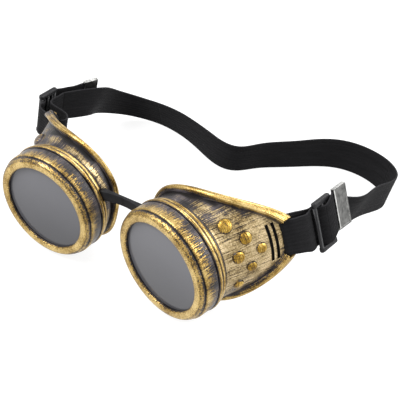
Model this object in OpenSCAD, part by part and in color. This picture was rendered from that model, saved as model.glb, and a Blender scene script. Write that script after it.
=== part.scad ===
// Round goggles with two moulded eye cups, screw-on lens rings, a soft nose bridge and an elastic head strap.
// Millimetres. +Z is up, -Y is the way the lenses look, and the origin lies midway between the lens centres.
// Each eye cup is drawn about its own lens axis: X out to the temple, Y back to the face, Z up.

/* [Lenses] */
// Distance between the two lens centres
lens_spacing = 72.8; // [70:0.2:78]
// Diameter of the round lenses
lens_d = 50; // [49:0.1:51]
// Thickness of the smoked front lens
dark_lens_t = 1.8; // [1.4:0.1:2]
// Thickness of the clear lens behind it
clear_lens_t = 1.2; // [1:0.1:1.4]
// Thickness of the rubber gasket ring
gasket_t = 1.2; // [1:0.1:1.5]
// Width of the gasket ring's flat face
gasket_w = 2.4; // [1.6:0.1:2.6]

/* [Retaining rings] */
// Overlap of the ring's lip over the front lens, on the radius
lip_cover = 2; // [1.8:0.1:3]
// Thickness of the lip in front of the lens
lip_t = 1.9; // [1.6:0.1:2.2]
// Wall of the ring outside its bore
ring_wall = 3.5; // [3.2:0.1:4.2]
// Length of the ring along the lens axis
ring_len = 10.6; // [10:0.1:12]
// Play between the lenses and the ring's bore, on the radius
lens_play = 0.3; // [0.2:0.05:0.4]
// Running clearance between ring bore and spigot, on the radius
thread_play = 0.08; // [0.05:0.01:0.1]

/* [Eye cups] */
// Step from the ring's outside in to the moulded wall, on the radius
wall_step = 1.75; // [1.5:0.05:2]
// Wall thickness of the moulding
wall_t = 2; // [1.8:0.1:2.4]
// Distance from the lip plane to the rear of the collar
collar_back = 18; // [17.6:0.1:18.6]
// Height of the two raised beads over the wall
bead_h = 1.1; // [0.8:0.1:1.4]
// Flare of the face rim outside that wall, above and below the eye
rim_flare = 3.95; // [3.5:0.05:4.9]
// Further reach of the temple wing
wing_reach = 10.3; // [9.5:0.1:11]
// Amount by which the nose side of the rim is drawn in
nose_relief = 2.6; // [2:0.1:3]
// Distance from the lip plane to the rear of the rim at the nose
cup_depth = 25; // [24.5:0.1:26]
// Further distance that the wing sweeps back to its tip
wing_sweep = 28.9; // [28:0.1:30]
// Width of the rolled face rim outside the wall
rim_w = 3.2; // [2.6:0.1:3.6]
// Thickness of the face rim at the nose
rim_t = 2.2; // [2:0.1:2.6]
// Extra thickness of the face rim along the wing
rim_swell = 1.8; // [1.2:0.1:2.2]
// Diameter of the largest raised dome, the upper one in front
dome_d = 7.4; // [6.6:0.1:7.8]
// Height of that dome over the wall
dome_h = 1.8; // [1.4:0.1:2.2]
// Amount by which the domes shrink with each step down or back
dome_taper = 0.9; // [0.5:0.1:1]
// Distance from the lip plane to the first column of domes
dome_back = 23.8; // [23:0.1:24.2]
// Distance between neighbouring columns of domes along the wing
dome_step = 5.6; // [5:0.1:6]
// Angle between neighbouring domes in the first column
dome_spread = 31.4; // [28:0.2:32]

/* [Strap slots] */
// Width of each of the two grooves in the wing
slot_w = 1.4; // [1.2:0.1:1.6]
// Depth of these grooves into the wall
slot_depth = 1.4; // [1:0.1:1.5]
// Length of each groove
slot_len = 18.6; // [18:0.1:19.2]
// Distance from one groove to the next
slot_pitch = 2.8; // [2.7:0.1:3.1]
// Distance from the lip plane to the first groove
slot_back = 39.8; // [39.4:0.1:40.1]
// Width of the moulded bar between the second groove and the strap's window
last_bar_w = 1.8; // [1.4:0.1:2]
// Distance from that moulded bar to the axis of the round end bar
window_len = 3.6; // [3.5:0.1:4]
// Diameter of the bar that the strap goes round
end_bar_d = 3.2; // [2.8:0.1:3.4]

/* [Set of the cups] */
// Turn of the right cup about the vertical, lens towards the nose
right_yaw = 9.2; // [8:0.1:11]
// Lift of the right cup's wing about its lens axis
right_roll = 18.5; // [18:0.1:19.5]
// Turn of the left cup about the vertical, lens towards the nose
left_yaw = 3; // [2:0.1:5]
// Lift of the left cup's wing about its lens axis
left_roll = 14.3; // [13.8:0.1:15.3]

/* [Nose bridge] */
// Height of the soft bridge strip
bridge_h = 5.6; // [5:0.1:6]
// Thickness of the strip in the middle
bridge_t = 1.7; // [1.5:0.1:2]
// Thickness of the strip where it meets a cup
bridge_root_t = 3.4; // [3.2:0.1:4]
// Thickness of the neck inside the cup's slot
bridge_neck_t = 2.4; // [2.2:0.1:2.6]
// Clear gap round the neck
bridge_gap = 0.3; // [0.25:0.05:0.4]
// Distance from the lip plane to the bridge slot
bridge_back = 15.4; // [15.2:0.1:15.6]
// Angle of the bridge slot round the cup, from the temple side
bridge_turn = 144; // [140:0.5:148]

/* [Strap and hardware] */
// Width of the elastic webbing
strap_w = 20; // [19:0.1:20.4]
// Thickness of the elastic webbing
strap_t = 1; // [0.8:0.05:1.1]
// Distance from the end bar back to the right slide buckle
loop_len = 21.2; // [20.6:0.1:22.4]
// Distance from the lip plane to the rearmost part of the strap
strap_reach = 158.7; // [150:0.1:165]
// Diameter of each bar of the slide buckle
buckle_bar_d = 2.2; // [2:0.1:2.3]
// Distance between neighbouring bars of the slide buckle
buckle_pitch = 5; // [4.9:0.1:5.4]
// Overall width of the slide buckle
buckle_w = 26; // [25.4:0.1:27]
// Length of the folded metal end clip along the strap
clip_len = 8.8; // [8:0.1:10]
// Sheet thickness of the end clip
clip_t = 0.5; // [0.4:0.05:0.6]

/* [Hidden] */
// Play between flat faces that lie against each other
face_play = 0.04;
// Facets round exact turned surfaces
smooth = 96;
// Columns round the lofted cup and rings along it
loft_columns = 72;
loft_rings = 7;
// Roundness of the wing's end and of the nose relief
wing_round = 8.3;
nose_round = 17;
// The wing's sweep starts this far to the nose side and rises by this power
sweep_start = 20;
sweep_power = 3.3;

// Play of the gathered webbing in the strap's window, at each edge
window_play = 0.4;
// Cutters go this far past what they cut
cut_over = 10;

lens_r = lens_d / 2;
ring_bore_r = lens_r + lens_play;
spigot_r = ring_bore_r - thread_play;
spigot_bore_r = lens_r - gasket_w;
stack_front = lip_t + face_play;
clear_front = stack_front + dark_lens_t + face_play;
gasket_front = clear_front + clear_lens_t + face_play;
spigot_front = gasket_front + gasket_t + face_play;
band_r = ring_bore_r + ring_wall;
wall_r = band_r - wall_step;
rim_r = wall_r + rim_flare;
wing_end = rim_r + wing_reach;
rim_back_end = cup_depth + wing_sweep;
window_front = slot_back + slot_pitch + slot_w / 2 + last_bar_w;
end_bar_back = window_front + window_len;
end_bar_out = wing_end - rim_w - wall_t + 0.3;
gathered_w = slot_len - 2 * window_play;
clip_w = strap_w + 2 * clip_t + 0.4;
clip_depth = strap_t + 2 * clip_t + 0.1;

// Radius of the face rim at an angle round the lens axis, 0 at the temple
function rim_at(a) = rim_r + wing_reach * pow(abs(cos(a / 2)), 2 * wing_round)
    - nose_relief * pow(abs(sin(a / 2)), 2 * nose_round);
// Distance back from the lip plane to the rear of the rim, at a distance out to the temple
function sweep_at(out) = cup_depth
    + wing_sweep * pow(max(0, out + sweep_start) / (wing_end + sweep_start), sweep_power);
function rim_thick_at(a) = rim_t + rim_swell * pow(cos(a / 2), 8);
function rim_rear(a) = sweep_at(rim_at(a) * cos(a));
function polar(r, a, back) = [r * cos(a), back, r * sin(a)];

// The wall runs straight from the collar's circle to the face rim
function wall_point(a, t, inset) = let (
    front = polar(wall_r - inset, a, collar_back),
    rear = polar(rim_at(a) - rim_w - inset, a, rim_rear(a) - rim_thick_at(a))
) front * (1 - t) + rear * t;
function wall_normal(a, t) = let (
    along = wall_point(a, t + 0.02, 0) - wall_point(a, t - 0.02, 0),
    round = wall_point(a + 1, t, 0) - wall_point(a - 1, t, 0),
    n = cross(along, round)
) n / norm(n);

// Places of a cup-local point in the whole frame: side is 1 on the right and -1 on the left
function yaw_of(side) = side > 0 ? right_yaw : left_yaw;
function roll_of(side) = side > 0 ? right_roll : left_roll;
function rolled(p, r) = [p[0] * cos(r) - p[2] * sin(r), p[1], p[2] * cos(r) + p[0] * sin(r)];
function turned(p, y) = [p[0] * cos(y) + p[1] * sin(y), p[1] * cos(y) - p[0] * sin(y), p[2]];
function seat_vector(side, p) = let (q = turned(rolled(p, roll_of(side)), yaw_of(side))) [side * q[0], q[1], q[2]];
function seat_point(side, p) = seat_vector(side, p) + [side * lens_spacing / 2, 0, 0];

// A closed skin over rings of points, each ring with the same count, ends capped by fans
function ring_faces(rings, n) = [for (i = [0:rings - 2]) for (j = [0:n - 1]) let (k = (j + 1) % n)
    each [[i * n + j, (i + 1) * n + k, i * n + k], [i * n + j, (i + 1) * n + j, (i + 1) * n + k]]];
function capped(rings, n) = concat(ring_faces(rings, n),
    [for (j = [1:n - 2]) [0, j, j + 1]],
    [for (j = [1:n - 2]) let (b = (rings - 1) * n) [b, b + j + 1, b + j]]);
// The same skin closed round on itself, as a hoop
function hooped(rings, n) = [for (i = [0:rings - 1]) let (m = (i + 1) % rings) for (j = [0:n - 1])
    let (k = (j + 1) % n) each [[i * n + j, m * n + k, i * n + k], [i * n + j, m * n + j, m * n + k]]];

// A smooth curve through rows of numbers, with this many steps between rows
function between(a, b, c, d, t) = 0.5 * (2 * b + (c - a) * t + (2 * a - 5 * b + 4 * c - d) * t * t
    + (3 * b - a - 3 * c + d) * t * t * t);
function curve(rows, steps) = let (n = len(rows)) concat(
    [for (i = [0:n - 2]) for (s = [0:steps - 1])
        between(rows[max(i - 1, 0)], rows[i], rows[i + 1], rows[min(i + 2, n - 1)], s / steps)],
    [rows[n - 1]]);

// A flat band through stations: centre, way along it, way across it, width and thickness at each
function unit(v) = v / norm(v);
function ways(centres) = let (last = len(centres) - 1)
    [for (i = [0:last]) centres[min(i + 1, last)] - centres[max(i - 1, 0)]];
function corners(c, along, across, w, t) = let (
    a = unit(across) * w / 2,
    n = unit(cross(along, across)) * t / 2
) [c + a + n, c - a + n, c - a - n, c + a - n];
module band(centres, alongs, acrosses, widths, thicks) {
    last = len(centres) - 1;
    points = [for (i = [0:last]) each corners(centres[i], alongs[i], acrosses[i], widths[i], thicks[i])];
    polyhedron(points = points, faces = capped(last + 1, 4));
}

module seated(side) {
    mirror([side > 0 ? 0 : 1, 0, 0])
        translate([lens_spacing / 2, 0, 0])
            rotate([0, 0, -yaw_of(side)])
                rotate([0, -roll_of(side), 0])
                    children();
}

// Turns a drawn profile of [radius, distance back] round the lens axis
module turned_solid(profile) {
    rotate([-90, 0, 0])
        rotate_extrude($fn = smooth)
            polygon(profile);
}

/* Ring, lenses and gasket */
module retaining_ring() {
    lip_r = lens_r - lip_cover;
    color("goldenrod")
        turned_solid([
            [lip_r, lip_t], [lip_r, 0.7], [lip_r + 0.6, 0.1], [lip_r + 1.1, 0],
            [band_r - 2.8, 0], [band_r - 1.9, 0.25], [band_r - 1.3, 0.8], [band_r - 0.6, 2.2],
            [band_r - 1.2, 2.5], [band_r - 1.2, 2.9], [band_r - 0.3, 3.2], [band_r, 3.7],
            [band_r, ring_len - 0.6], [band_r - 0.4, ring_len], [ring_bore_r, ring_len], [ring_bore_r, lip_t]
        ]);
}
module disc(r, front, t) {
    translate([0, front, 0])
        rotate([-90, 0, 0])
            cylinder(r = r, h = t, $fn = smooth);
}
module dark_lens() {
    color("dimgray")
        disc(lens_r, stack_front, dark_lens_t);
}
module clear_lens() {
    color("lightcyan")
        disc(lens_r, clear_front, clear_lens_t);
}
module gasket() {
    color("black")
        turned_solid([
            [spigot_bore_r, gasket_front], [lens_r, gasket_front],
            [lens_r, gasket_front + gasket_t], [spigot_bore_r, gasket_front + gasket_t]
        ]);
}

/* Moulded cup: collar with its beads, lofted wall with the wing, face rim */
module bridge_slot_cut() {
    rotate([0, -bridge_turn, 0])
        translate([wall_r - wall_t - 2, bridge_back - bridge_neck_t / 2 - bridge_gap,
            -bridge_h / 2 - bridge_gap])
            cube([wall_t + cut_over, bridge_neck_t + 2 * bridge_gap, bridge_h + 2 * bridge_gap]);
}
module collar() {
    bead = wall_r + bead_h;
    start = ring_len + 0.3;
    color("darkgoldenrod")
        difference() {
            turned_solid([
                [spigot_bore_r, spigot_front], [spigot_r, spigot_front], [spigot_r, start],
                [bead + 0.6, start], [bead + 1.1, start + 0.5], [bead + 1.2, start + 1.1],
                [bead + 1, start + 1.8], [bead + 0.2, start + 2.3], [bead + 0.6, start + 2.8],
                [bead + 0.6, start + 3.8], [bead, start + 4.8], [wall_r, start + 5.4],
                [wall_r, collar_back], [wall_r - wall_t, collar_back],
                [wall_r - wall_t, bridge_back - 2.2], [spigot_bore_r, bridge_back - 4]
            ]);
            bridge_slot_cut();
        }
}
// A skin round the cup between two depths below the wall's outside
module wall_loft(outside, inside) {
    n = loft_columns;
    step = 360 / n;
    points = [for (j = [0:n - 1]) let (a = j * step) each concat(
        [for (i = [0:loft_rings]) wall_point(a, i / loft_rings, outside)],
        [for (i = [0:loft_rings]) wall_point(a, 1 - i / loft_rings, inside)])];
    polyhedron(points = points, faces = hooped(n, 2 * (loft_rings + 1)));
}
// A low dome standing on the wall, sunk a little into it
module dome(a, t, d) {
    h = dome_h * d / dome_d;
    ball_r = (d * d / 4 + h * h) / (2 * h);
    n = wall_normal(a, t);
    translate(wall_point(a, t, 0))
        rotate([0, acos(n[2]), atan2(n[1], n[0])])
            intersection() {
                translate([0, 0, h - ball_r])
                    sphere(r = ball_r, $fn = 48);
                translate([0, 0, -1])
                    cylinder(d = d + 1, h = h + 2, $fn = 48);
            }
}
// Loft position of a point that lies this far back on the wall at an angle
function loft_at(a, back) = (back - collar_back) / (rim_rear(a) - rim_thick_at(a) - collar_back);
module domes() {
    // Three columns of three, two and one, pointing back along the wing, largest at the top in front
    for (column = [0:2]) {
        back = dome_back + column * dome_step;
        spread = dome_spread - 4 * column;
        for (k = [0:2 - column]) {
            a = (k - (2 - column) / 2) * spread;
            dome(a, loft_at(a, back), dome_d - dome_taper * (2 - k));
        }
    }
}
// A groove of even depth that follows the wall's curve
module groove(back) {
    intersection() {
        wall_loft(-wall_t, slot_depth);
        translate([wall_r - 3 * wall_t, back - slot_w / 2, -slot_len / 2])
            cube([wing_end - wall_r + cut_over, slot_w, slot_len]);
    }
}
module strap_window() {
    translate([wall_r - 3 * wall_t, window_front, -slot_len / 2 - 0.3])
        cube([wing_end - wall_r + cut_over, rim_back_end + cut_over - window_front, slot_len + 0.6]);
}
module cup_wall() {
    color("saddlebrown")
        difference() {
            union() {
                wall_loft(0, wall_t);
                domes();
            }
            groove(slot_back);
            groove(slot_back + slot_pitch);
            strap_window();
        }
}
module rim_loft() {
    n = loft_columns;
    step = 360 / n;
    points = [for (j = [0:n - 1]) let (a = j * step, r = rim_at(a), rear = rim_rear(a), th = rim_thick_at(a)) [
        polar(r - rim_w - wall_t, a, rear - th), polar(r - rim_w, a, rear - th),
        polar(r - 0.9, a, rear - th), polar(r - 0.2, a, rear - th + 0.6),
        polar(r, a, rear - th / 2), polar(r - 0.3, a, rear - 0.5),
        polar(r - 1.1, a, rear), polar(r - rim_w - wall_t, a, rear)]];
    polyhedron(points = [for (p = points) each p], faces = hooped(n, 8));
}
module face_rim() {
    color("goldenrod")
        union() {
            difference() {
                rim_loft();
                strap_window();
            }
            translate([end_bar_out, end_bar_back, -slot_len / 2 - 0.9])
                cylinder(d = end_bar_d, h = slot_len + 1.8, $fn = 48);
        }
}

/* Slide buckle: three bars between two rails, drawn about its middle bar */
rail_w = (buckle_w - strap_w - 0.8) / 2;
rail_t = buckle_bar_d + 0.6;
module slide_buckle() {
    color("black")
        union() {
            for (k = [-1:1])
                translate([0, k * buckle_pitch, -buckle_w / 2 + 0.6])
                    cylinder(d = buckle_bar_d, h = buckle_w - 1.2, $fn = 48);
            for (end = [-1, 1])
                translate([0, 0, end * (buckle_w - rail_w) / 2 - rail_w / 2]) {
                    translate([-rail_t / 2, -buckle_pitch, 0])
                        cube([rail_t, 2 * buckle_pitch, rail_w]);
                    for (k = [-1, 1])
                        translate([0, k * buckle_pitch, 0])
                            cylinder(d = rail_t, h = rail_w, $fn = 48);
                }
        }
}
// Folded sheet clip over the strap's end, open towards the buckle
module end_clip() {
    inner = strap_t + 0.1;
    color("silver")
        difference() {
            translate([-clip_depth / 2, 0, -clip_w / 2])
                cube([clip_depth, clip_len, clip_w]);
            translate([-inner / 2, -1, -clip_w / 2 + clip_t])
                cube([inner, clip_len + 1 - clip_t, clip_w - 2 * clip_t]);
        }
}

/* Routes of the webbing, as rows of [out, back, up, width] in each cup's own frame */
// A row drawn from the end bar for a loop of 21.2: [out, back, up], and the width from gathered 0 to full 1
loop_scale = loop_len / 21.2;
function from_bar(out, back, up, spread = 1) = [end_bar_out + out * loop_scale, end_bar_back + back * loop_scale,
    up * loop_scale, gathered_w + (strap_w - gathered_w) * spread];
// Middle bar of each slide buckle, and its turn outwards from straight back
right_buckle = from_bar(3.8, 21.2, -3.6);
right_buckle_turn = -4;
left_buckle = from_bar(14.9, 12.8, -4.2);
left_buckle_turn = -3;
// The two layers pass the buckle this far from the plane of its bars
outer_pass = buckle_bar_d / 2 + strap_t / 2 + 0.35;
inner_pass = outer_pass + strap_t + 0.5;
function buckle_of(side) = side > 0 ? right_buckle : left_buckle;
function turn_of(side) = side > 0 ? right_buckle_turn : left_buckle_turn;
// A row at a buckle: this many bar pitches along it, out from the plane of its bars, and up from its middle
function at_buckle(side, pitches, out, up = 0) =
    let (b = buckle_of(side), t = turn_of(side), along = pitches * buckle_pitch)
    [b[0] + along * sin(t) + out * cos(t), b[1] + along * cos(t) - out * sin(t), b[2] + up, strap_w];

// Round the end bar: in through the window, so that the band clears the bar all the way
bar_pass = end_bar_d / 2 + strap_t / 2 + 0.25;
function at_bar(angle, extra = 0) = [end_bar_out + (bar_pass + extra) * cos(angle),
    end_bar_back + (bar_pass + extra) * sin(angle), 0, gathered_w];
// The outer layer comes up behind the front bar and runs over the other two, clear of the rails, and may climb
function weave(side, climb = 0) = [at_buckle(side, -0.9, -outer_pass - 0.1),
    at_buckle(side, 0, outer_pass + 0.3), at_buckle(side, 1, outer_pass + 0.3, climb)];

right_loop = concat(
    [at_buckle(1, 1.8, -inner_pass), at_buckle(1, 0.8, -inner_pass), at_buckle(1, -0.2, -inner_pass),
        at_buckle(1, -1.2, -inner_pass - 0.3), from_bar(-2.4, 8, -2, 0.5), from_bar(-3.2, 3, -0.6, 0.1)],
    [at_bar(180, 0.6), at_bar(240), at_bar(290), at_bar(340)],
    [from_bar(3.9, 1.8, -0.4, 0.1), from_bar(4.7, 5.2, -1.2, 0.4), from_bar(4.8, 8.8, -2.4, 0.8),
        from_bar(3.6, 12.2, -3.2)],
    weave(1, 2));
right_tail_end = [from_bar(4.4, 29.3, -0.6), from_bar(4.2, 37.7, -0.6)];
left_loop = concat(
    [at_buckle(-1, 1.8, -inner_pass), at_buckle(-1, 0.8, -inner_pass), at_buckle(-1, 0, -inner_pass),
        from_bar(9.8, 9.7, -3.6, 0.8), from_bar(5.6, 8.9, -3, 0.5), from_bar(1, 8.3, -2, 0.3),
        from_bar(-3.4, 6.9, -1, 0.1), from_bar(-6.2, 3.9, -0.4, 0), from_bar(-5.6, 0.3, 0, 0)],
    [at_bar(215, 0.3), at_bar(250), at_bar(285)],
    [from_bar(5, -0.9, -0.4, 0.1), from_bar(9.2, 0.5, -1.4, 0.4), from_bar(12.2, 3.5, -2.8, 0.8)],
    weave(-1), [from_bar(15.8, 21.4, -4.4), from_bar(14.4, 24.8, -4.8), from_bar(13.2, 28.8, -5.4),
        from_bar(12, 32.7, -6)]);
left_tail_end = [from_bar(10.8, 37.7, -6.2), from_bar(7.4, 46.7, -6.2)];

module loop_band(rows, end_rows) {
    smooth_rows = curve(concat(rows, [end_rows[0]]), 4);
    // Past the curve the tail runs straight into its clip
    stations = concat(smooth_rows, [end_rows[1]]);
    color("dimgray")
        band([for (s = stations) [s[0], s[1], s[2]]], ways([for (s = stations) [s[0], s[1], 0]]),
            [for (s = stations) [0, 0, 1]], [for (s = stations) s[3]], [for (s = stations) strap_t]);
}
module clip_on(end_rows) {
    a = end_rows[0];
    b = end_rows[1];
    way = atan2(b[0] - a[0], b[1] - a[1]);
    translate([b[0], b[1], b[2]])
        rotate([0, 0, -way])
            translate([0, clip_t - clip_len + 0.1, 0])
                end_clip();
}

/* Nose bridge: a soft strip whose necks pass through the cups and end in heads inside them */
function bridge_row(side, out, t, h) = let (
    local = polar(out, bridge_turn, bridge_back),
    up = [cos(bridge_turn - 90), 0, sin(bridge_turn - 90)]
) concat(seat_point(side, local), -seat_vector(side, up), [t, h]);
bridge_head_h = bridge_h + 2.4;
bridge_head_t = bridge_neck_t + 1.6;
// The flat head stays clear of the round wall at its corners
head_face = sqrt(pow(wall_r - wall_t - bridge_gap, 2) - pow(bridge_head_h / 2, 2));
function bridge_end(side) = let (outside = wall_r + bead_h + 0.6) [
    bridge_row(side, head_face - 1.6, bridge_head_t, bridge_head_h),
    bridge_row(side, head_face, bridge_head_t, bridge_head_h),
    bridge_row(side, head_face, bridge_neck_t, bridge_h),
    bridge_row(side, outside + bridge_gap, bridge_neck_t, bridge_h),
    bridge_row(side, outside + bridge_gap, bridge_root_t, bridge_h),
    bridge_row(side, outside + 1.6, bridge_root_t, bridge_h)];
module nose_bridge() {
    left = bridge_end(-1);
    right = bridge_end(1);
    start = left[5];
    finish = right[5];
    // The middle of the strip: thin, upright and in a gentle curve from one cup to the other
    middle = [for (i = [1:7]) let (t = i / 8, s = t * t * (3 - 2 * t), row = start * (1 - s) + finish * s,
        place = start * (1 - t) + finish * t)
        [place[0], place[1] + 0.6 * sin(180 * t), place[2], row[3], row[4], row[5],
            bridge_t + (bridge_root_t - bridge_t) * pow(abs(2 * t - 1), 2), bridge_h]];
    rows = concat(left, middle, [for (i = [5:-1:0]) right[i]]);
    last = len(rows) - 1;
    centres = [for (r = rows) [r[0], r[1], r[2]]];
    free = ways(centres);
    // The steps of each end stay square to the neck
    alongs = [for (i = [0:last]) i < 6 ? centres[5] - centres[0]
        : i > last - 6 ? centres[last] - centres[last - 5] : free[i]];
    color("black")
        band(centres, alongs, [for (r = rows) [r[3], r[4], r[5]]], [for (r = rows) r[7]], [for (r = rows) r[6]]);
}

/* Head strap: its lower edge lies on the table at the back and rises to the buckles in front */
// The lowest point of the face rims, on which the goggles rest
rest_z = min([for (side = [-1, 1]) for (j = [0:loft_columns - 1]) let (a = j * 360 / loft_columns,
    r = rim_at(a)) each [for (p = [polar(r, a, rim_rear(a) - rim_thick_at(a) / 2),
        polar(r - 0.2, a, rim_rear(a) - rim_thick_at(a) + 0.6)]) seat_point(side, p)[2]]]);
// Rows of [across, back, lift of the lower edge, lean of the upper edge out of the loop]
left_route = [[-81.2, 85, 26, -21], [-83.4, 95, 21.6, -27], [-88.6, 104.6, 15.8, -35], [-90, 114.8, 8.9, -28],
    [-85, 124, 3.2, -21], [-75.5, 128.6, 0.4, -17]];
back_route = [[-66, 129.8, 0, -15], [-54, 129, 0, -11], [-42, 126.5, 0, -7], [-30, 122.5, 0, -3],
    [-19, 118.6, 0, 1], [-8, 115.6, 0, -3], [2, 118, 0, -13], [8.4, 127.6, 0, -10], [17, 135, 0, -7],
    [26, 142.4, 0, -6], [34.6, 150.6, 0, -2], [44.6, 156.8, 0, 0], [56, 158.7, 0, 3], [68, 157, 0, 6]];
right_route = [[79, 152, 0, 11], [86.4, 142.4, 1.4, 13], [87.6, 130, 5.7, 14], [86.8, 118, 11, 14],
    [86.6, 106, 15.6, 16], [87.4, 95.4, 18.6, 20], [86.6, 84.6, 21.4, 6]];
// The rows are drawn for wing tips 77.7 out from the middle and a reach of 158.7, and follow both
span_scale = (lens_spacing / 2 + wing_end) / 77.7;
reach_scale = strap_reach / 158.7;
route = [for (r = concat(left_route, back_route, right_route))
    [r[0] * span_scale, r[1] * reach_scale, r[2] * reach_scale, r[3]]];
route_ways = ways([for (r = route) [r[0], r[1], r[2]]]);
// Across the width: upright, leaning out of the loop, and square to the run where the strap climbs
function route_across(i) = let (w = route_ways[i], t = unit([w[0], w[1], 0]), tilt = atan2(w[2], norm([w[0], w[1]])),
    lean = route[i][3]) cos(lean) * (cos(tilt) * [0, 0, 1] - sin(tilt) * t) + sin(lean) * [-t[1], t[0], 0];
function route_centre(i) = let (r = route[i], a = route_across(i))
    [r[0], r[1], rest_z + r[2] + strap_w / 2 * a[2] + strap_t / 2 * sqrt(max(0, 1 - a[2] * a[2]))];
// Both ends of the strap go on from the inner layer at the buckles
function join_row(side, pitches) = let (p = at_buckle(side, pitches, -inner_pass)) seat_point(side, [p[0], p[1], p[2]]);
function join_across(side) = seat_vector(side, [0, 0, 1]);
last_row = len(route) - 1;
strap_steps = 4;
strap_centres = curve(concat([join_row(-1, 0), join_row(-1, 1.8)], [for (i = [0:last_row]) route_centre(i)],
    [join_row(1, 1.8), join_row(1, 0)]), strap_steps);
strap_acrosses = curve(concat([join_across(-1), join_across(-1)], [for (i = [0:last_row]) route_across(i)],
    [join_across(1), join_across(1)]), strap_steps);
strap_free_ways = ways(strap_centres);
// The end faces lie square on those of the inner layers
strap_ways = [for (i = [0:len(strap_centres) - 1]) i <= strap_steps ? join_row(-1, 1.8) - join_row(-1, 0)
    : i >= len(strap_centres) - 1 - strap_steps ? join_row(1, 0) - join_row(1, 1.8) : strap_free_ways[i]];
left_last = (len(left_route) + 2) * strap_steps;
back_last = left_last + len(back_route) * strap_steps;
module strap_span(first, last) {
    span = [for (i = [first:last]) i];
    color("dimgray")
        band([for (i = span) strap_centres[i]], [for (i = span) strap_ways[i]], [for (i = span) strap_acrosses[i]],
            [for (i = span) strap_w], [for (i = span) strap_t]);
}
module strap_left() {
    strap_span(strap_steps, left_last);
}
module strap_back() {
    strap_span(left_last, back_last);
}
module strap_right() {
    strap_span(back_last, len(strap_centres) - 1 - strap_steps);
}

module buckle_in_place(side) {
    b = buckle_of(side);
    seated(side)
        translate([b[0], b[1], b[2]])
            rotate([0, 0, -turn_of(side)])
                slide_buckle();
}

nose_bridge();
strap_left();
strap_back();
strap_right();
seated(1) retaining_ring();  // right_retaining_ring
seated(1) dark_lens();  // right_dark_lens
seated(1) clear_lens();  // right_clear_lens
seated(1) gasket();  // right_gasket
seated(1) collar();  // right_collar
seated(1) cup_wall();  // right_cup_wall
seated(1) face_rim();  // right_face_rim
seated(1) loop_band(right_loop, right_tail_end);  // right_strap_loop
buckle_in_place(1);  // right_buckle
seated(1) clip_on(right_tail_end);  // right_end_clip
seated(-1) retaining_ring();  // left_retaining_ring
seated(-1) dark_lens();  // left_dark_lens
seated(-1) clear_lens();  // left_clear_lens
seated(-1) gasket();  // left_gasket
seated(-1) collar();  // left_collar
seated(-1) cup_wall();  // left_cup_wall
seated(-1) face_rim();  // left_face_rim
seated(-1) loop_band(left_loop, left_tail_end);  // left_strap_loop
buckle_in_place(-1);  // left_buckle
seated(-1) clip_on(left_tail_end);  // left_end_clip
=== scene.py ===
# %% [markdown]
# # Round goggles with swept eye cups
# This lesson dresses a fixed frame of solids as a pair of costume goggles: two moulded eye cups painted
# in antique gold, screw-on lens rings, smoked lenses, a rubber nose bridge and a black elastic head strap.
# Lengths are worked out in millimetres in each cup's own frame, and turned into metres only when a mesh is made.

# %% Load the fixed frame
import math

import bmesh
import bpy
import numpy as np
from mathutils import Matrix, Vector


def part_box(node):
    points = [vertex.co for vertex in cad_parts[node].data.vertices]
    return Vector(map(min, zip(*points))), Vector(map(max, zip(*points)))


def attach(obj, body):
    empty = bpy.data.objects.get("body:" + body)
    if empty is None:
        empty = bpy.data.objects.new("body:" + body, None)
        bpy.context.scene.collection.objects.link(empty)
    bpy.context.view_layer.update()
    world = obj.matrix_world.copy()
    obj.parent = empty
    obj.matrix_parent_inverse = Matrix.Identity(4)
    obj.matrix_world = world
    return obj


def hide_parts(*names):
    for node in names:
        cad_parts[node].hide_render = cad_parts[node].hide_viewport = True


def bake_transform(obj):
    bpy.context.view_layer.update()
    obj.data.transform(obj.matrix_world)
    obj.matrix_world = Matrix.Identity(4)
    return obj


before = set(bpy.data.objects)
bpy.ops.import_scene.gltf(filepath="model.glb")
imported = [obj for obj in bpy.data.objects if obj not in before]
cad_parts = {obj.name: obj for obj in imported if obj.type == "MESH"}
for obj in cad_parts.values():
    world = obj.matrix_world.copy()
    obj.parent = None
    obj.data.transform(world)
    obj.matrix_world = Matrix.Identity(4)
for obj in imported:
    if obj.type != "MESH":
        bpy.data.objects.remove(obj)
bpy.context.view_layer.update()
print("nodes:", len(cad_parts))

# %% [markdown]
# ## Sizes
# These are the sizes that the solids have. One could draw both cups where they lie, but the strap pulls them to
# slightly different angles as the goggles lie on the table. So each cup is drawn straight, round its own lens axis:
# out to the temple, back to the face, and up. `seat` then puts its points at that cup's angle.

# %% Sizes and seats
SPACING = 72.8
WALL_R, WALL_T, COLLAR_BACK = 27.05, 2.0, 18.0
RIM_R, WING_REACH, NOSE_RELIEF = 31.0, 10.3, 2.6
CUP_DEPTH, WING_SWEEP = 25.0, 28.9
RIM_W, RIM_T, RIM_SWELL = 3.2, 2.2, 1.8
STRAP_W, GATHERED_W, STRAP_T = 20.0, 18.2, 1.0
BAR_D, BAR_PITCH, BUCKLE_W = 2.2, 5.0, 26.0
SIDES = ("right", "left")
SIGN = {"right": 1.0, "left": -1.0}
YAW = {"right": math.radians(9.2), "left": math.radians(3.0)}
ROLL = {"right": math.radians(18.5), "left": math.radians(14.3)}


def cup_axes(side):
    """The cup's own directions out, back and up, as three rows. A direction times them is in the whole frame."""
    cy, sy, cr, sr = math.cos(YAW[side]), math.sin(YAW[side]), math.cos(ROLL[side]), math.sin(ROLL[side])
    return np.array([[cr * cy, -cr * sy, sr], [sy, cy, 0], [-sr * cy, sr * sy, cr]]) * [SIGN[side], 1, 1]


AXES = {side: cup_axes(side) for side in SIDES}
CENTRE = {side: np.array([SIGN[side] * SPACING / 2, 0, 0]) for side in SIDES}


def seat(side, points):
    """Places cup-local millimetres in the whole frame, still in millimetres."""
    return np.asarray(points, float) @ AXES[side] + CENTRE[side]


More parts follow.
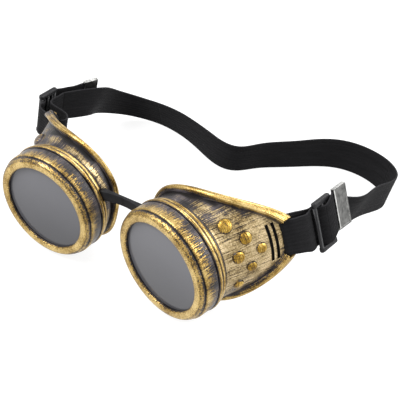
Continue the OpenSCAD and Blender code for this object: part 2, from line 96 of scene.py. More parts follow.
def unseat(side, points):
    """The way back: whole-frame millimetres to cup-local ones."""
    return (np.asarray(points, float) - CENTRE[side]) @ AXES[side].T


def unit(v):
    return v / np.linalg.norm(v, axis=-1, keepdims=True)


print("lens centres:", seat("left", [0, 0, 0]), seat("right", [0, 0, 0]))

# %% [markdown]
# ## Meshes from rows of points
# Blender can grow a shape from modifiers, from sculpting, or from plain lists of points and faces. Nearly every
# piece here follows a formula or a measured outline, so lists are the shortest way, and they give the same mesh each
# time. A skin lies over rows of points: each row is closed, and joined to the next. `add_mesh` takes millimetres
# and writes metres.

# %% Skins over rows of points
def add_mesh(name, points, faces, smooth=True):
    """Makes a mesh object from millimetre points, with its faces turned outwards."""
    mesh = bpy.data.meshes.new(name)
    mesh.from_pydata((np.asarray(points, float).reshape(-1, 3) * 0.001).tolist(), [], faces)
    shell = bmesh.new()
    shell.from_mesh(mesh)
    bmesh.ops.recalc_face_normals(shell, faces=shell.faces)
    shell.to_mesh(mesh)
    shell.free()
    mesh.polygons.foreach_set("use_smooth", [smooth] * len(mesh.polygons))
    obj = bpy.data.objects.new(name, mesh)
    bpy.context.scene.collection.objects.link(obj)
    return obj


def grid_faces(rows, columns, close_rows=False, start=0):
    """Four-sided faces between rows of points. Each row is closed round on itself."""
    return [tuple(start + row % rows * columns + column % columns
                  for row, column in ((i, j), (i, j + 1), (i + 1, j + 1), (i + 1, j)))
            for i in range(rows if close_rows else rows - 1) for j in range(columns)]


def skin(name, grid, capped=False, smooth=True):
    """A tube over rows of points: with a flat face on both ends, or else closed on itself like a tyre."""
    rows, columns = np.shape(grid)[:2]
    faces = grid_faces(rows, columns, not capped)
    if capped:
        faces += [tuple(range(columns)), tuple(range((rows - 1) * columns, rows * columns))[::-1]]
    return add_mesh(name, grid, faces, smooth)


def full_turn(count):
    """Even steps round a full turn, in radians."""
    return np.linspace(0, 2 * math.pi, count, endpoint=False)


def polar(radius, back, angle):
    """Cup-local points: this far from the lens axis, this far back, at this angle."""
    return np.stack(np.broadcast_arrays(radius * np.cos(angle), back, radius * np.sin(angle)), -1)


print("faces between two rows of four points:", len(grid_faces(2, 4)))

# %% [markdown]
# ## Where the paint lies
# The real cups are dark plastic with gold brushed on by hand, so the paint follows the shape of each piece. A
# painted picture could hold it, but then every piece would need an unwrapped map. Instead, each point of a mesh
# stores where it lies under the brush, and how much gold sticks there. The shader reads both.

# %% Paint maps
def store(obj, name, values):
    """Keeps a number or a vector at each point of a mesh, for the shaders to find by name."""
    kind, key = ("FLOAT_VECTOR", "vector") if np.ndim(values) > 1 else ("FLOAT", "value")
    layer = obj.data.attributes.get(name) or obj.data.attributes.new(name, kind, "POINT")
    layer.data.foreach_set(key, np.asarray(values, np.float32).ravel())


# How a stroke is drawn out: round the axis, along the outline, or hardly. BRUSH_R is the circle of the angles.
ROUND, ALONG, DABS = np.array([(0.07, 1), (1, 0.07), (0.55, 0.7)])
BRUSH_R = 28.0


def gold_map(obj, angle, run, gold, brush):
    """Stores where each point lies under the brush, and how much gold it holds.

    angle goes round the lens axis and run along the outline, and brush scales the two. The angle is kept as a
    place on a circle, so that it has no seam. More than 1 is lighter gold, and less than 0 is near-black painted
    shade.
    """
    around, run = brush[..., 0] * BRUSH_R, run * brush[..., 1]
    store(obj, "hair", np.stack([around * np.cos(angle), around * np.sin(angle), run], -1))
    store(obj, "gold", gold)


def cup_points(obj, side, items="vertices", key="co"):
    """An object's points in its cup's frame, and their angles round the lens axis and distances from it."""
    items = getattr(obj.data, items)
    places = np.zeros(len(items) * 3, np.float32)
    items.foreach_get(key, places)
    local = unseat(side, places.reshape(-1, 3).astype(float) * 1000)
    return local, np.arctan2(local[:, 2], local[:, 0]), np.hypot(local[:, 0], local[:, 2])


print("strokes round, along and dabbed:", ROUND.tolist(), ALONG.tolist(), DABS.tolist())

# %% [markdown]
# ## Turned pieces
# Rings and beads are round, because their moulds are turned. A screw modifier could spin an outline, but it would
# not carry the gold along. So the outline's corners are rounded first, and then each of its points is drawn as a
# whole circle with its own share of gold.

# %% Turned pieces
CORNER = 0.25


def soften(profile, radius=CORNER, steps=4):
    """Rounds the corners of an open outline of (radius, back, gold) rows."""
    rows, t = np.array(profile, float), np.linspace(0, 1, steps + 1)[:, None]
    out = [rows[:1]]
    for before, here, after in zip(rows, rows[1:], rows[2:]):
        p, q = (here + way * min(radius / math.hypot(*way[:2]), 0.45) for way in (before - here, after - here))
        out.append(p * (1 - t) ** 2 + here * 2 * t * (1 - t) + q * t * t)
    return np.concatenate([*out, rows[-1:]])


def turned(name, side, profile, radius=CORNER, columns=240, along_from=0.0):
    """A piece turned round the lens axis from rows of (radius, back, gold), closed on itself.

    Behind along_from the paint was drawn along the piece, and in front of it only dabbed on.
    """
    rows = soften([*profile, profile[0]], radius)[:-1]
    obj = skin(name, seat(side, polar(rows[:, :1], rows[:, 1:2], full_turn(columns))))
    along = np.cumsum(np.r_[0, np.hypot(np.diff(rows[:, 0]), np.diff(rows[:, 1]))])
    brush = np.where(rows[:, 1:2] > along_from, ALONG, DABS)
    gold_map(obj, np.tile(full_turn(columns), len(rows)), np.repeat(along, columns), np.repeat(rows[:, 2], columns),
             np.repeat(brush, columns, axis=0))
    return obj


def nearest_gold(out, back, rows):
    """The gold of the place on an outline that is nearest to each point."""
    return rows[np.argmin((out[:, None] - rows[:, 0]) ** 2 + (back[:, None] - rows[:, 1]) ** 2, axis=1), 2]


def paint_ring(obj, side, profile):
    """Stores the maps of a cut piece anew, because a cut loses them."""
    local, angle, distance = cup_points(obj, side)
    gold = nearest_gold(distance, local[:, 1], soften([*profile, profile[0]]))
    gold_map(obj, angle, local[:, 1] + distance, gold, ROUND)


print("points on a softened corner:", len(soften([(0, 0, 0), (1, 0, 0), (1, 1, 0)])) - 2)

# %% [markdown]
# ## Cuts and boxes
# Slots and windows are open in the moulded shells. Rows of points could be bent round each hole, but that would
# spoil the even grid, so the holes are cut with boolean steps. The exact solver keeps their edges clean.

# %% Cuts and boxes
def cut(obj, *cutters):
    """Cuts solids out of an object and keeps the result as plain geometry."""
    for cutter in cutters:
        step = obj.modifiers.new("cut", "BOOLEAN")
        step.operation, step.solver, step.object = "DIFFERENCE", "EXACT", cutter
    mesh = bpy.data.meshes.new_from_object(obj.evaluated_get(bpy.context.evaluated_depsgraph_get()))
    obj.modifiers.clear()
    obj.data = mesh
    for cutter in cutters:
        bpy.data.objects.remove(cutter)


BOX_FACES = [(0, 1, 3, 2), (4, 6, 7, 5), (0, 4, 5, 1), (2, 3, 7, 6), (0, 2, 6, 4), (1, 5, 7, 3)]


def block(name, side, low, high, axes=np.eye(3), origin=0.0):
    """A box in a cup's frame, or along other axes there."""
    (x0, y0, z0), (x1, y1, z1) = low, high
    corners = [[x, y, z] for x in (x0, x1) for y in (y0, y1) for z in (z0, z1)]
    return add_mesh(name, seat(side, origin + corners @ axes), BOX_FACES, False)


# %% [markdown]
# ## Materials from nodes
# A material is a web of nodes. It can be laid out by hand in the shader editor, but written out, all materials
# share one helper for each kind of step, and its numbers stand beside each other. `Shader` adds nodes to one
# material, and links or sets their inputs by name.

# %% Shader helpers
class Shader:
    """A material's or world's nodes. Each input is a number, a colour or another node's output."""

    def __init__(self, owner):
        owner.use_nodes = True
        self.owner, self.tree = owner, owner.node_tree

    def feed(self, socket, value):
        """Links an input to another node's output, or sets it."""
        if isinstance(value, bpy.types.NodeSocket):
            self.tree.links.new(value, socket)
        else:
            socket.default_value = value

    def surface(self, inputs):
        """Sets or links inputs of the surface shader."""
        for key, value in inputs.items():
            self.feed(self.tree.nodes["Principled BSDF"].inputs[key], value)

    def node(self, kind, inputs, **settings):
        """Adds a node: its settings first, because they decide which inputs it has."""
        made = self.tree.nodes.new("ShaderNode" + kind)
        for key, value in settings.items():
            setattr(made, key, value)
        for key, value in inputs.items():
            self.feed(made.inputs[key], value)
        return made

    def maths(self, kind, *values):
        return self.node("Math", dict(enumerate(values)), operation=kind).outputs[0]

    def scaled(self, value, times, plus=0.0):
        return self.maths("MULTIPLY_ADD", value, times, plus)

    def total(self, *parts):
        """The sum of (value, weight) pairs."""
        so_far = 0.0
        for value, weight in parts:
            so_far = self.scaled(value, weight, so_far)
        return so_far

    def swayed(self, value, *noises):
        """A value with (noise, weight) pairs added, each noise centred on zero first."""
        for noise, weight in noises:
            value = self.scaled(self.maths("SUBTRACT", noise, 0.5), weight, value)
        return value

    def noise(self, vector, scale, detail=3.0, roughness=0.5):
        inputs = {"Vector": vector, "Scale": scale, "Detail": detail, "Roughness": roughness}
        return self.node("TexNoise", inputs).outputs["Fac"]

    def stretched(self, vector, scales=(1, 1, 1), shift=(0, 0, 0)):
        """The vector with each part scaled by its own number, and then shifted."""
        return self.node("Mapping", {"Vector": vector, "Scale": scales, "Location": shift}).outputs["Vector"]

    def object_place(self):
        """Where a point lies in the object's own coordinates, in metres."""
        return self.node("TexCoord", {}).outputs["Object"]

    def object_noise(self, scale, detail=3.0):
        return self.noise(self.object_place(), scale, detail)

    def ramp(self, value, *stops):
        """A colour ramp from (place, colour) stops in rising order."""
        made = self.node("ValToRGB", {"Fac": value})
        elements = made.color_ramp.elements
        for element, (place, colour) in zip(elements, (stops[0], stops[-1])):
            element.position, element.color = place, (*colour, 1)
        for place, colour in stops[1:-1]:
            elements.new(place).color = (*colour, 1)
        return made.outputs["Color"]

    def mix(self, share, a, b):
        return self.node("Mix", {"Factor": share, "A": a, "B": b}, data_type="RGBA").outputs["Result"]

    def between(self, value, low, high):
        """0 below low, 1 above high, and a soft step between."""
        inputs = {"Value": value, "From Min": low, "From Max": high}
        return self.node("MapRange", inputs, interpolation_type="SMOOTHSTEP").outputs["Result"]

    def bump(self, heights, distance):
        """A relief on the surface: heights in shares of the distance, in metres."""
        relief = self.node("Bump", {"Height": heights, "Distance": distance})
        self.surface({"Normal": relief.outputs["Normal"]})


def new_shader(name):
    return Shader(bpy.data.materials.new(name))


print("steps of a shader:", [step for step in vars(Shader) if not step.startswith("_")])

# %% [markdown]
# ## Antique gold
# The gold is dry-brushed: a dark grey plastic, with gold that caught on the edges and on the raised places. One
# plain gold with a dirt picture over it would look printed. So noise that is drawn out along the strokes is added
# to the gold that each point holds, and a soft step turns the sum into paint or bare ground. Four settings serve
# the rings, the walls, the rims and the domes, which were brushed with different care.

# %% Brushed antique gold
GROUND = ((0.38, (0.010, 0.008, 0.008)), (0.5, (0.048, 0.041, 0.045)), (0.64, (0.165, 0.145, 0.158)))
# Near-black painted shade, for points that hold less than no gold: in grooves and corners.
DEEP_PAINTED_SHADE = (0.006, 0.005, 0.0055, 1)
PAINT_EDGE, FLECKING = 0.52, 1.1


def antique_gold(name, strand, soft, patch, wild, pale, rough, swipe=0.35):
    """Gold dry-brushed over a dark ground.

    strand is how many hairs lie side by side in a millimetre, and soft is how softly the paint ends. patch, wild
    and swipe say how much patches, hairs and broad strokes change the cover, and pale turns orange into cream.
    """
    s = new_shader(name)
    place = s.node("Attribute", {}, attribute_name="hair").outputs["Vector"]
    held = s.node("Attribute", {}, attribute_name="gold").outputs["Fac"]
    hairs = s.noise(place, strand, 2.0, 0.6)
    strokes = s.noise(s.stretched(place, shift=(7, 3, 0)), strand * 0.25, 2.0)
    patches, flecks = s.object_noise(110.0, 2.0), s.object_noise(1500.0)
    gold = s.swayed(held, (hairs, wild), (strokes, wild * swipe), (patches, 1.6 * patch), (flecks, FLECKING))
    share = s.between(gold, PAINT_EDGE - soft / 2, PAINT_EDGE + soft / 2)
    ground = s.ramp(s.total((hairs, 0.5), (patches, 0.5)), *GROUND)
    shade = s.total((hairs, 0.4), (flecks, 0.3), (patches, 0.3))
    # More gold paints lighter. On the domes, this paints their highlight.
    shade = s.scaled(s.maths("SUBTRACT", held, 0.8), 0.14, shade)
    paint = s.ramp(shade, (0.39, (0.115, 0.06, 0.010)), (0.5, (0.37, 0.23 + 0.04 * pale, 0.052 + 0.07 * pale)),
                   (0.61, (0.74, 0.54 + 0.04 * pale, 0.20 + 0.14 * pale)))
    painted = s.mix(share, ground, paint)
    # Below zero gold, the colour turns to the near-black painted shade.
    s.surface({"Base Color": s.mix(s.between(held, -0.25, 0.2), DEEP_PAINTED_SHADE, painted),
               "Metallic": s.scaled(share, 0.75, 0.08),
               "Roughness": s.scaled(hairs, 0.28, rough), "Specular IOR Level": 0.35})
    s.bump(s.total((share, 0.35), (hairs, 0.5), (flecks, 0.5)), 0.00022)
    return s.owner


def painted_groove_shade():
    """Near-black painted shade for the walls and floors of the grooves."""
    s = new_shader("painted shade in the grooves")
    s.surface({"Base Color": s.ramp(s.object_noise(900.0), (0.3, (0.004, 0.0035, 0.0035)),
                                    (0.7, (0.014, 0.012, 0.012))),
               "Roughness": 0.7, "Specular IOR Level": 0.2})
    return s.owner


GOLD_RING = antique_gold("aged gold, ring", strand=3.0, soft=0.3, patch=0.36, wild=2.1, pale=0.2, rough=0.18,
                         swipe=0.2)
GOLD_CUP = antique_gold("aged gold, cup wall", strand=3.0, soft=0.5, patch=0.46, wild=2.4, pale=1.15, rough=0.24,
                        swipe=0.25)
GOLD_RIM = antique_gold("aged gold, rims and beads", strand=1.6, soft=0.3, patch=0.3, wild=1.0, pale=0.2, rough=0.16)
GOLD_STUD = antique_gold("aged gold, domes", strand=2.4, soft=0.4, patch=0.1, wild=0.7, pale=-0.3, rough=0.2)
# The near-black painted shade inside the grooves.
GROOVE_SHADE = painted_groove_shade()
print("painted finishes:", [finish.name for finish in (GOLD_RING, GOLD_CUP, GOLD_RIM, GOLD_STUD, GROOVE_SHADE)])

# %% [markdown]
# ## Lenses, rubber, webbing, plastic and plate
# The lenses are smoked sheet, the bridge is soft rubber, the strap is woven elastic, the buckles are moulded plastic
# and the clips are plated steel. One black could stand for most of them, but on the real thing they differ in
# sheen: the elastic is dull, the rubber and the plastic catch soft lights, and the plate is smeared and bright at
# its border. So each has a grain and some wear, made from noise at its true size.

# %% Lenses, rubber, webbing, plastic and plate
def smoked_lens():
    """Dark grey sheet: smoky and polished, with a painted reflection that makes it a little lighter towards the top.
    """
    s = new_shader("smoked lens")
    # height is the painted reflection: dark at the bottom of the lens and light at its top.
    height = s.between(s.node("SeparateXYZ", {"Vector": s.object_place()}).outputs["Z"], -0.03, 0.03)
    haze = s.object_noise(60.0, 2.0)
    tone = s.scaled(haze, 0.12, height)
    s.surface({"Base Color": s.ramp(tone, (0.0, (0.092, 0.092, 0.101)), (1.0, (0.214, 0.214, 0.234))),
               "Roughness": s.scaled(haze, 0.06, 0.10), "IOR": 1.45, "Specular IOR Level": 0.4})
    return s.owner


def clear_sheet():
    """Clear plastic with a trace of haze."""
    s = new_shader("clear lens")
    haze = s.object_noise(80.0, 2.0)
    s.surface({"Base Color": s.ramp(haze, (0.3, (0.90, 0.92, 0.92)), (0.7, (0.97, 0.98, 0.98))),
               "Roughness": s.scaled(haze, 0.10), "Transmission Weight": 0.92, "IOR": 1.45})
    return s.owner


def black_stuff(name, grain, relief, wear_scale, low, high, rough, specular):
    """Black rubber or plastic: a fine grain, and wear that changes its tone and its sheen."""
    s = new_shader(name)
    wear = s.object_noise(wear_scale)
    s.surface({"Base Color": s.ramp(wear, low, high), "Roughness": s.scaled(wear, *rough),
               "Specular IOR Level": specular})
    s.bump(s.object_noise(*grain), relief)
    return s.owner


def elastic_webbing():
    """Woven elastic: fine threads across, over ribs that the mesh carries along its length."""
    s = new_shader("elastic webbing")
    place = s.node("Attribute", {}, attribute_name="weave").outputs["Vector"]
    parts = s.node("SeparateXYZ", {"Vector": place}).outputs
    warp, weft = (s.maths("SINE", s.scaled(parts[axis], 2 * math.pi / thread))
                  for axis, thread in (("X", 0.62), ("Y", 0.55)))
    weave = s.scaled(warp, weft)
    fuzz = s.noise(s.stretched(place, (5.0, 1.6, 1)), 1.0, 3.0, 0.7)
    wear = s.noise(s.stretched(place, (0.35, 0.05, 1)), 1.0)
    edge = s.between(s.maths("ABSOLUTE", parts["X"]), 9.3, 9.8)
    tone = s.total((fuzz, 0.6), (wear, 0.4), (weave, 0.08), (edge, 0.5))
    s.surface({"Base Color": s.ramp(tone, (0.3, (0.010, 0.010, 0.0105)), (0.8, (0.026, 0.0255, 0.0275))),
               "Roughness": s.scaled(fuzz, 0.2, 0.62), "Specular IOR Level": 0.05,
               "Sheen Weight": 0.015, "Sheen Roughness": 0.4})
    s.bump(s.scaled(weave, 0.4, fuzz), 0.00009)
    return s.owner


def plated_steel(name, dark, light, rough):
    """Plate that was brushed along the clip's length, and has small dents and smears."""
    s = new_shader(name)
    brushed = s.noise(s.stretched(s.object_place(), (1, 1, 0.12)), 900.0)
    smears = s.object_noise(420.0, 4.0)
    tone = s.total((smears, 0.6), (brushed, 0.4))
    s.surface({"Base Color": s.ramp(tone, (0.36, (dark, dark, dark * 0.97)), (0.62, (light, light, light * 0.97))),
               "Metallic": 0.95, "Roughness": s.scaled(smears, 0.25, rough)})
    s.bump(s.maths("ADD", brushed, smears), 0.00004)
    return s.owner


LENS, CLEAR, WEBBING = smoked_lens(), clear_sheet(), elastic_webbing()
RUBBER = black_stuff("black rubber", grain=(1400.0, 3.0), relief=0.00004, wear_scale=220.0, rough=(0.2, 0.42),
                     low=(0.35, (0.006, 0.006, 0.007)), high=(0.75, (0.016, 0.016, 0.018)), specular=0.2)
PLASTIC = black_stuff("black plastic", grain=(1100.0, 2.0), relief=0.00002, wear_scale=160.0, rough=(0.18, 0.32),
                      low=(0.3, (0.006, 0.006, 0.007)), high=(0.75, (0.020, 0.020, 0.022)), specular=0.25)
STEEL, STEEL_EDGE = plated_steel("plated steel", 0.08, 0.20, 0.3), plated_steel("worn bright edge", 0.3, 0.75, 0.16)
print("materials:", len(bpy.data.materials))


def dress(obj, material, body, slot, *nodes):
    """Gives a finished piece its material and ties it to the frame."""
    obj.data.materials.clear()
    obj.data.materials.append(material)
    if body:
        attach(obj, body)
    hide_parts(*nodes)


# %% [markdown]
# ## Lens rings
# The ring screws onto the cup and holds the lenses in. It could be a cylinder with bevels, but its lip, its groove
# and its broad band are easier to read and to change as one outline, turned round the lens axis. The third number
# of each row is the gold: high on the rounded front, below zero in the groove, where it paints the groove's shade
# near-black, high again on the edge of the broad band and fading towards the back, as the brush left it. The lens
# is a flat sheet with a fine chamfer.

# %% Rings and lenses
RING = [(23, 1.9, 0), (23, 0.75, 0.45), (23.5, 0.15, 0.95), (24.3, 0, 1.15), (25.9, 0, 1.15),
        (26.5, 0.15, 1.05), (26.9, 0.3, 0.56), (27.25, 0.6, 0.66), (27.6, 1, 0.85), (27.95, 1.6, 0.62),
        (28.2, 2.2, 0.2), (27.6, 2.5, -0.25), (27.6, 2.9, -0.25), (28.5, 3.2, 0.75), (28.8, 3.7, 0.92),
        (28.8, 5.2, 0.66), (28.8, 7, 0.47), (28.8, 8.6, 0.24), (28.8, 10, 0.12), (28.4, 10.6, 0.1), (25.3, 10.6, 0),
        (25.3, 1.9, 0)]
LENS_EDGE = [(24.7, 1.95), (25, 2.2), (25, 3.45), (24.7, 3.74)]


def lens_disc(name, side):
    """A flat sheet with a fine chamfer. Only its round edge is shaded smooth."""
    obj = skin(name, seat(side, [polar(r, back, full_turn(160)) for r, back in LENS_EDGE]), True)
    obj.data.polygons.foreach_set("use_smooth", [len(p.vertices) == 4 and abs(p.normal.y) < 0.9
                                                 for p in obj.data.polygons])
    return obj


LIP_R, WEAR = 26.5, {"right": 0.0, "left": 0.12}
for side in SIDES:
    worn = [(r, back, gold - (WEAR[side] if r > LIP_R else 0)) for r, back, gold in RING]
    ring = turned(side + "_lens_ring", side, worn, along_from=2.6)
    dress(ring, GOLD_RING, side + "_ring", "aged_gold_ring", side + "_retaining_ring")
    lens = lens_disc(side + "_smoked_lens", side)
    dress(lens, LENS, side + "_lens_stack", "smoked_lens", side + "_dark_lens")
    for node, material in ((side + "_clear_lens", CLEAR), (side + "_gasket", RUBBER)):
        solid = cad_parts[node]
        solid.data.materials.clear()
        solid.data.materials.append(material)
print("rings and lenses done")

# %% [markdown]
# ## Cup collars
# The collar is the round front of the cup, and two beads of it show behind the ring. It is turned like the ring. The
# second bead stops where the nose bridge enters the cup. A bridge that just touched the bead would look glued on, so
# a slot is cut through the bead and the wall together, with a little air round the bridge.

# %% Collars
# The third number of each row is the gold. Below zero, in the groove between the beads and in the corner behind them,
# it paints their shade near-black.
COLLAR = [(22.6, 6.3, 0), (25.22, 6.3, 0), (25.22, 10.9, 0), (28.75, 10.9, 0.1), (29.25, 11.4, 0.85),
          (29.35, 12, 1), (29.15, 12.7, 0.9), (28.35, 13.2, -0.25), (28.75, 13.7, 0.85), (28.75, 14.6, 0.95),
          (28.15, 15.6, 0.3), (27, 16.2, -0.1), (27, 18, 0.1), (25.05, 18, 0), (25.05, 13.2, 0),
          (22.6, 11.4, 0)]
BRIDGE_TURN, BRIDGE_BACK, BRIDGE_H, BRIDGE_T = math.radians(144), 15.4, 5.6, 1.7
ROOT_T, NECK_T, BRIDGE_GAP = 3.4, 2.4, 0.3
BRIDGE_OUT = [math.cos(BRIDGE_TURN), 0, math.sin(BRIDGE_TURN)]
BRIDGE_AXES = np.array([BRIDGE_OUT, [0, 1, 0], [-BRIDGE_OUT[2], 0, BRIDGE_OUT[0]]])
for side in SIDES:
    collar = turned(side + "_cup_collar", side, COLLAR, 0.3)
    slot = block("slot", side, (23.0, BRIDGE_BACK - NECK_T / 2 - BRIDGE_GAP, -BRIDGE_H / 2 - BRIDGE_GAP),
                 (33.0, BRIDGE_BACK + NECK_T / 2 + BRIDGE_GAP, BRIDGE_H / 2 + BRIDGE_GAP), BRIDGE_AXES)
    cut(collar, slot)
    paint_ring(collar, side, COLLAR)
    dress(collar, GOLD_RIM, side + "_cup", "aged_gold_cup", side + "_collar")
print("collars done")

# %% [markdown]
# ## Cup walls
# The wall is one thin moulding: round at the collar, and reaching out and back to the temple at the face. It could
# be sculpted, or pulled from a few faces with subdivision. But its outline follows two formulas of the angle, so
# it is lofted: each row of points lies a share of the way from the collar's circle to that outline. The domes, the
# grooves and the rim can then use the same formulas, and sit on it exactly.

# %% Loft formulas
def rim_radius(a):
    return RIM_R + WING_REACH * np.abs(np.cos(a / 2)) ** 16.6 - NOSE_RELIEF * np.abs(np.sin(a / 2)) ** 34


def rim_back(a):
    out = rim_radius(a) * np.cos(a)
    return CUP_DEPTH + WING_SWEEP * (np.maximum(0, out + 20) / (RIM_R + WING_REACH + 20)) ** 3.3


def tip_share(a):
    """1 at the wing's tip, and less the further round the cup."""
    return np.cos(a / 2) ** 8


def rim_front(a):
    """How far back the wall ends and the rim begins."""
    return rim_back(a) - RIM_T - RIM_SWELL * tip_share(a)


def wall_radius(a, t):
    """The wall's radius, a share t of the way from the collar to the rim."""
    return WALL_R * (1 - t) + (rim_radius(a) - RIM_W) * t


def wall_point(a, t, inset=0.0):
    return polar(wall_radius(a, t) - inset, COLLAR_BACK * (1 - t) + rim_front(a) * t, a)


def wall_normal(a, t, step=0.02):
    along = wall_point(a, t + step) - wall_point(a, t - step)
    around = wall_point(a + step, t) - wall_point(a - step, t)
    return unit(np.cross(along, around))


def wall_share(a, back):
    """How far up the loft a point at this angle lies that far back."""
    return (back - COLLAR_BACK) / (rim_front(a) - COLLAR_BACK)


print("the wing reaches", round(float(rim_radius(0)), 1), "mm out and", round(float(rim_back(0)), 1), "mm back")

# %% Sizes of domes, grooves and window
DOME_D, DOME_H, DOME_TAPER = 7.4, 1.8, 0.9
SLOT_W, SLOT_LEN, SLOT_BACK, SLOT_PITCH, SLOT_DEPTH, LAST_BAR_W = 1.4, 18.6, 39.8, 2.8, 1.4, 1.8
WINDOW_FRONT = SLOT_BACK + SLOT_PITCH + SLOT_W / 2 + LAST_BAR_W
print("the window starts", round(WINDOW_FRONT, 1), "mm behind the front of the ring")

# %% [markdown]
# ## The wall's paint
# The brush went along the wing and over it, and touched the round side only here and there. Under the low rim and
# on the wall's inside, the shade is painted near-black. Painting by hand in texture mode would do it for one cup. A
# formula of the place does it for both, and a few spots are added where a dab of paint or of grime shows.

# %% The wall's paint
# The wing's paint: its middle angle and its width. Then spots of more or less gold, as (angle, back, gold).
WING_PAINT = {"right": (-0.05, 0.78), "left": (-0.3, 0.5)}
SPOTS = {"right": [(1.52, 18.8, -0.5)], "left": [(1.7, 19.6, 0.75), (2.28, 19.0, 0.9), (2.0, 18.2, 0.5)]}
# RIM_SHADE is how far the painted shade under the low rim reaches, in millimetres. INSIDE_SHADE is the gold that
# paints the wall's inside near-black as shade.
SPOT_ANGLE, SPOT_BACK, RIM_SHADE, INSIDE_SHADE = 0.22, 1.6, 3.4, -0.3


def wing_gold(side, local, a, distance):
    """Gold on the wall: strong along the wing and up to the rim above it, and thin elsewhere.

    Under the low rim and on the wall's inside, shade is painted near-black.
    """
    back, (middle, width) = local[:, 1], WING_PAINT[side]
    wing = np.exp(-((a - middle) / width) ** 2)
    near = np.exp(-((rim_front(a) - back) / RIM_SHADE) ** 2)
    above = wing / (1 + np.exp(-12 * a))
    shaded = near * (1 - above)
    rubbed = np.sin(9 * a + 0.35 * back) * np.sin(0.62 * back - 3.4 * a + 1)
    gold = (0.30 + 0.66 * wing) * (1 - 0.95 * shaded) + 0.3 * near * above + 0.42 * rubbed * (1 - wing) - 0.3 * shaded
    for spot_angle, spot_back, extra in SPOTS[side]:
        gold += extra * np.exp(-((a - spot_angle) / SPOT_ANGLE) ** 2 - ((back - spot_back) / SPOT_BACK) ** 2)
    return np.where(distance < wall_radius(a, np.clip(wall_share(a, back), 0, 1)) - 0.5, INSIDE_SHADE, gold)


def paint_wall(obj, side):
    """Paints a wall. The strokes fan out along the wing, because the wall widens there."""
    local, a, distance = cup_points(obj, side)
    fan = 1 + (distance / WALL_R - 1) * np.cos(a / 2) ** 2
    gold_map(obj, a * fan, local[:, 1] * 0.6, wing_gold(side, local, a, distance), ALONG)


print("gold at the wing's tip:", wing_gold("right", np.array([[39.0, 30.0, 0]]), np.zeros(1), np.full(1, 39.0)))

# %% [markdown]
# ## Domes
# Six low domes stand on each wing like rivet heads. They belong to the moulding, and get smaller down and back.
# Spheres pushed into the wall would leave their height and edge to chance, so each dome is a cap of rings that
# rises from the wall's own slope, steep at its edge and round on top.

# %% Domes
DOME_COLUMNS, DOME_RINGS, DOME_WORN = full_turn(56), np.linspace(1, 0, 14), {"right": 0, "left": 0.3}
# DOME_LIGHT is the angle round each dome where its painted highlight and painted shadow lie.
DOME_BACK, DOME_PITCH, DOME_FAN, DOME_CLOSING, DOME_LIGHT = 23.8, 5.6, 31.4, 4.0, math.radians(182)


def dome_cap(a, t, size):
    """Rings of points of a low dome: steep at its edge, rounded on top, sunk a little into the wall."""
    centre, n = wall_point(a, t), wall_normal(a, t)
    e1 = unit(np.cross(n, [0, 0, 1.0]))
    e2 = np.cross(n, e1)
    r = size / 2 * DOME_RINGS
    h = DOME_H * size / DOME_D * np.clip(1 - DOME_RINGS ** 2.2, 0, 1) ** 0.6
    h[0] = -0.6
    circle = np.cos(DOME_COLUMNS)[:, None] * e1 + np.sin(DOME_COLUMNS)[:, None] * e2
    return centre + r[:, None, None] * circle + h[:, None, None] * n


def dome_gold():
    """The gold on a dome's rings of points: a painted highlight on the shoulder that faces back and up, and a painted
    shadow round its foot on that side.
    """
    share, facing = DOME_RINGS[:, None], np.cos(DOME_COLUMNS - DOME_LIGHT)[None, :]
    body = 0.72 + 0.85 * np.exp(-((share - 0.78) / 0.16) ** 2) * np.clip(facing, 0, 1)
    return np.where(share > 0.9, np.where(facing > 0.1, -0.3, 0.4), body).ravel()


def dome_places():
    """Three columns of three, two and one, pointing back along the wing, largest at the top in front."""
    for column in range(3):
        back, spread = DOME_BACK + column * DOME_PITCH, math.radians(DOME_FAN - DOME_CLOSING * column)
        for k in range(3 - column):
            a = (k - (2 - column) / 2) * spread
            yield a, wall_share(a, back), DOME_D - DOME_TAPER * (2 - k)


print("domes on a wing:", len(list(dome_places())))

# %% [markdown]
# ## Grooves and window
# Two narrow grooves and a window cross the wing, where the strap comes out. The grooves are blind, and their
# inside is painted black as shade. A straight cutter would go deeper in the middle than at the ends, because the
# wing is curved. So the cutter is bent along the wall, at one depth all the way, and the groove's faces get the
# painted shade instead of the paint.

# %% Grooves and window
def groove_cutter(side, back):
    """A curved slab that cuts a groove of even depth into the wall."""
    heights = np.linspace(-SLOT_LEN / 2, SLOT_LEN / 2, 33)
    lines = []
    for b in (back - SLOT_W / 2, back + SLOT_W / 2):
        a = np.zeros_like(heights)
        for _ in range(12):
            a = np.arcsin(heights / (wall_radius(a, wall_share(a, b)) - SLOT_DEPTH))
        lines.append(wall_point(a, wall_share(a, b), SLOT_DEPTH))
    front, rear = lines
    above = [6, 0, 0]
    return skin("groove", seat(side, np.stack([front, rear, rear + above, front + above], 1)), True, False)


def strap_window(side, extra=0.0):
    return block("window", side, (WALL_R - 6, WINDOW_FRONT - extra, -SLOT_LEN / 2 - 0.3 - extra),
                 (RIM_R + WING_REACH + 4, WINDOW_FRONT + 20, SLOT_LEN / 2 + 0.3 + extra))


def line_grooves(wall, side):
    """Gives the walls and floors of the two grooves the painted black shade instead of the paint."""
    wall.data.materials.append(GROOVE_SHADE)
    local, a, distance = cup_points(wall, side, "polygons", "center")
    below = wall_radius(a, wall_share(a, local[:, 1])) - distance
    middle = [WALL_R, SLOT_BACK + SLOT_PITCH / 2, 0]
    reach = [WALL_R, (SLOT_PITCH + SLOT_W) / 2 + 0.05, SLOT_LEN / 2 + 0.05]
    lined = (below > 0.08) & (below < SLOT_DEPTH + 0.5) & (np.abs(local - middle) < reach).all(1)
    wall.data.polygons.foreach_set("material_index", lined.astype(np.int32))


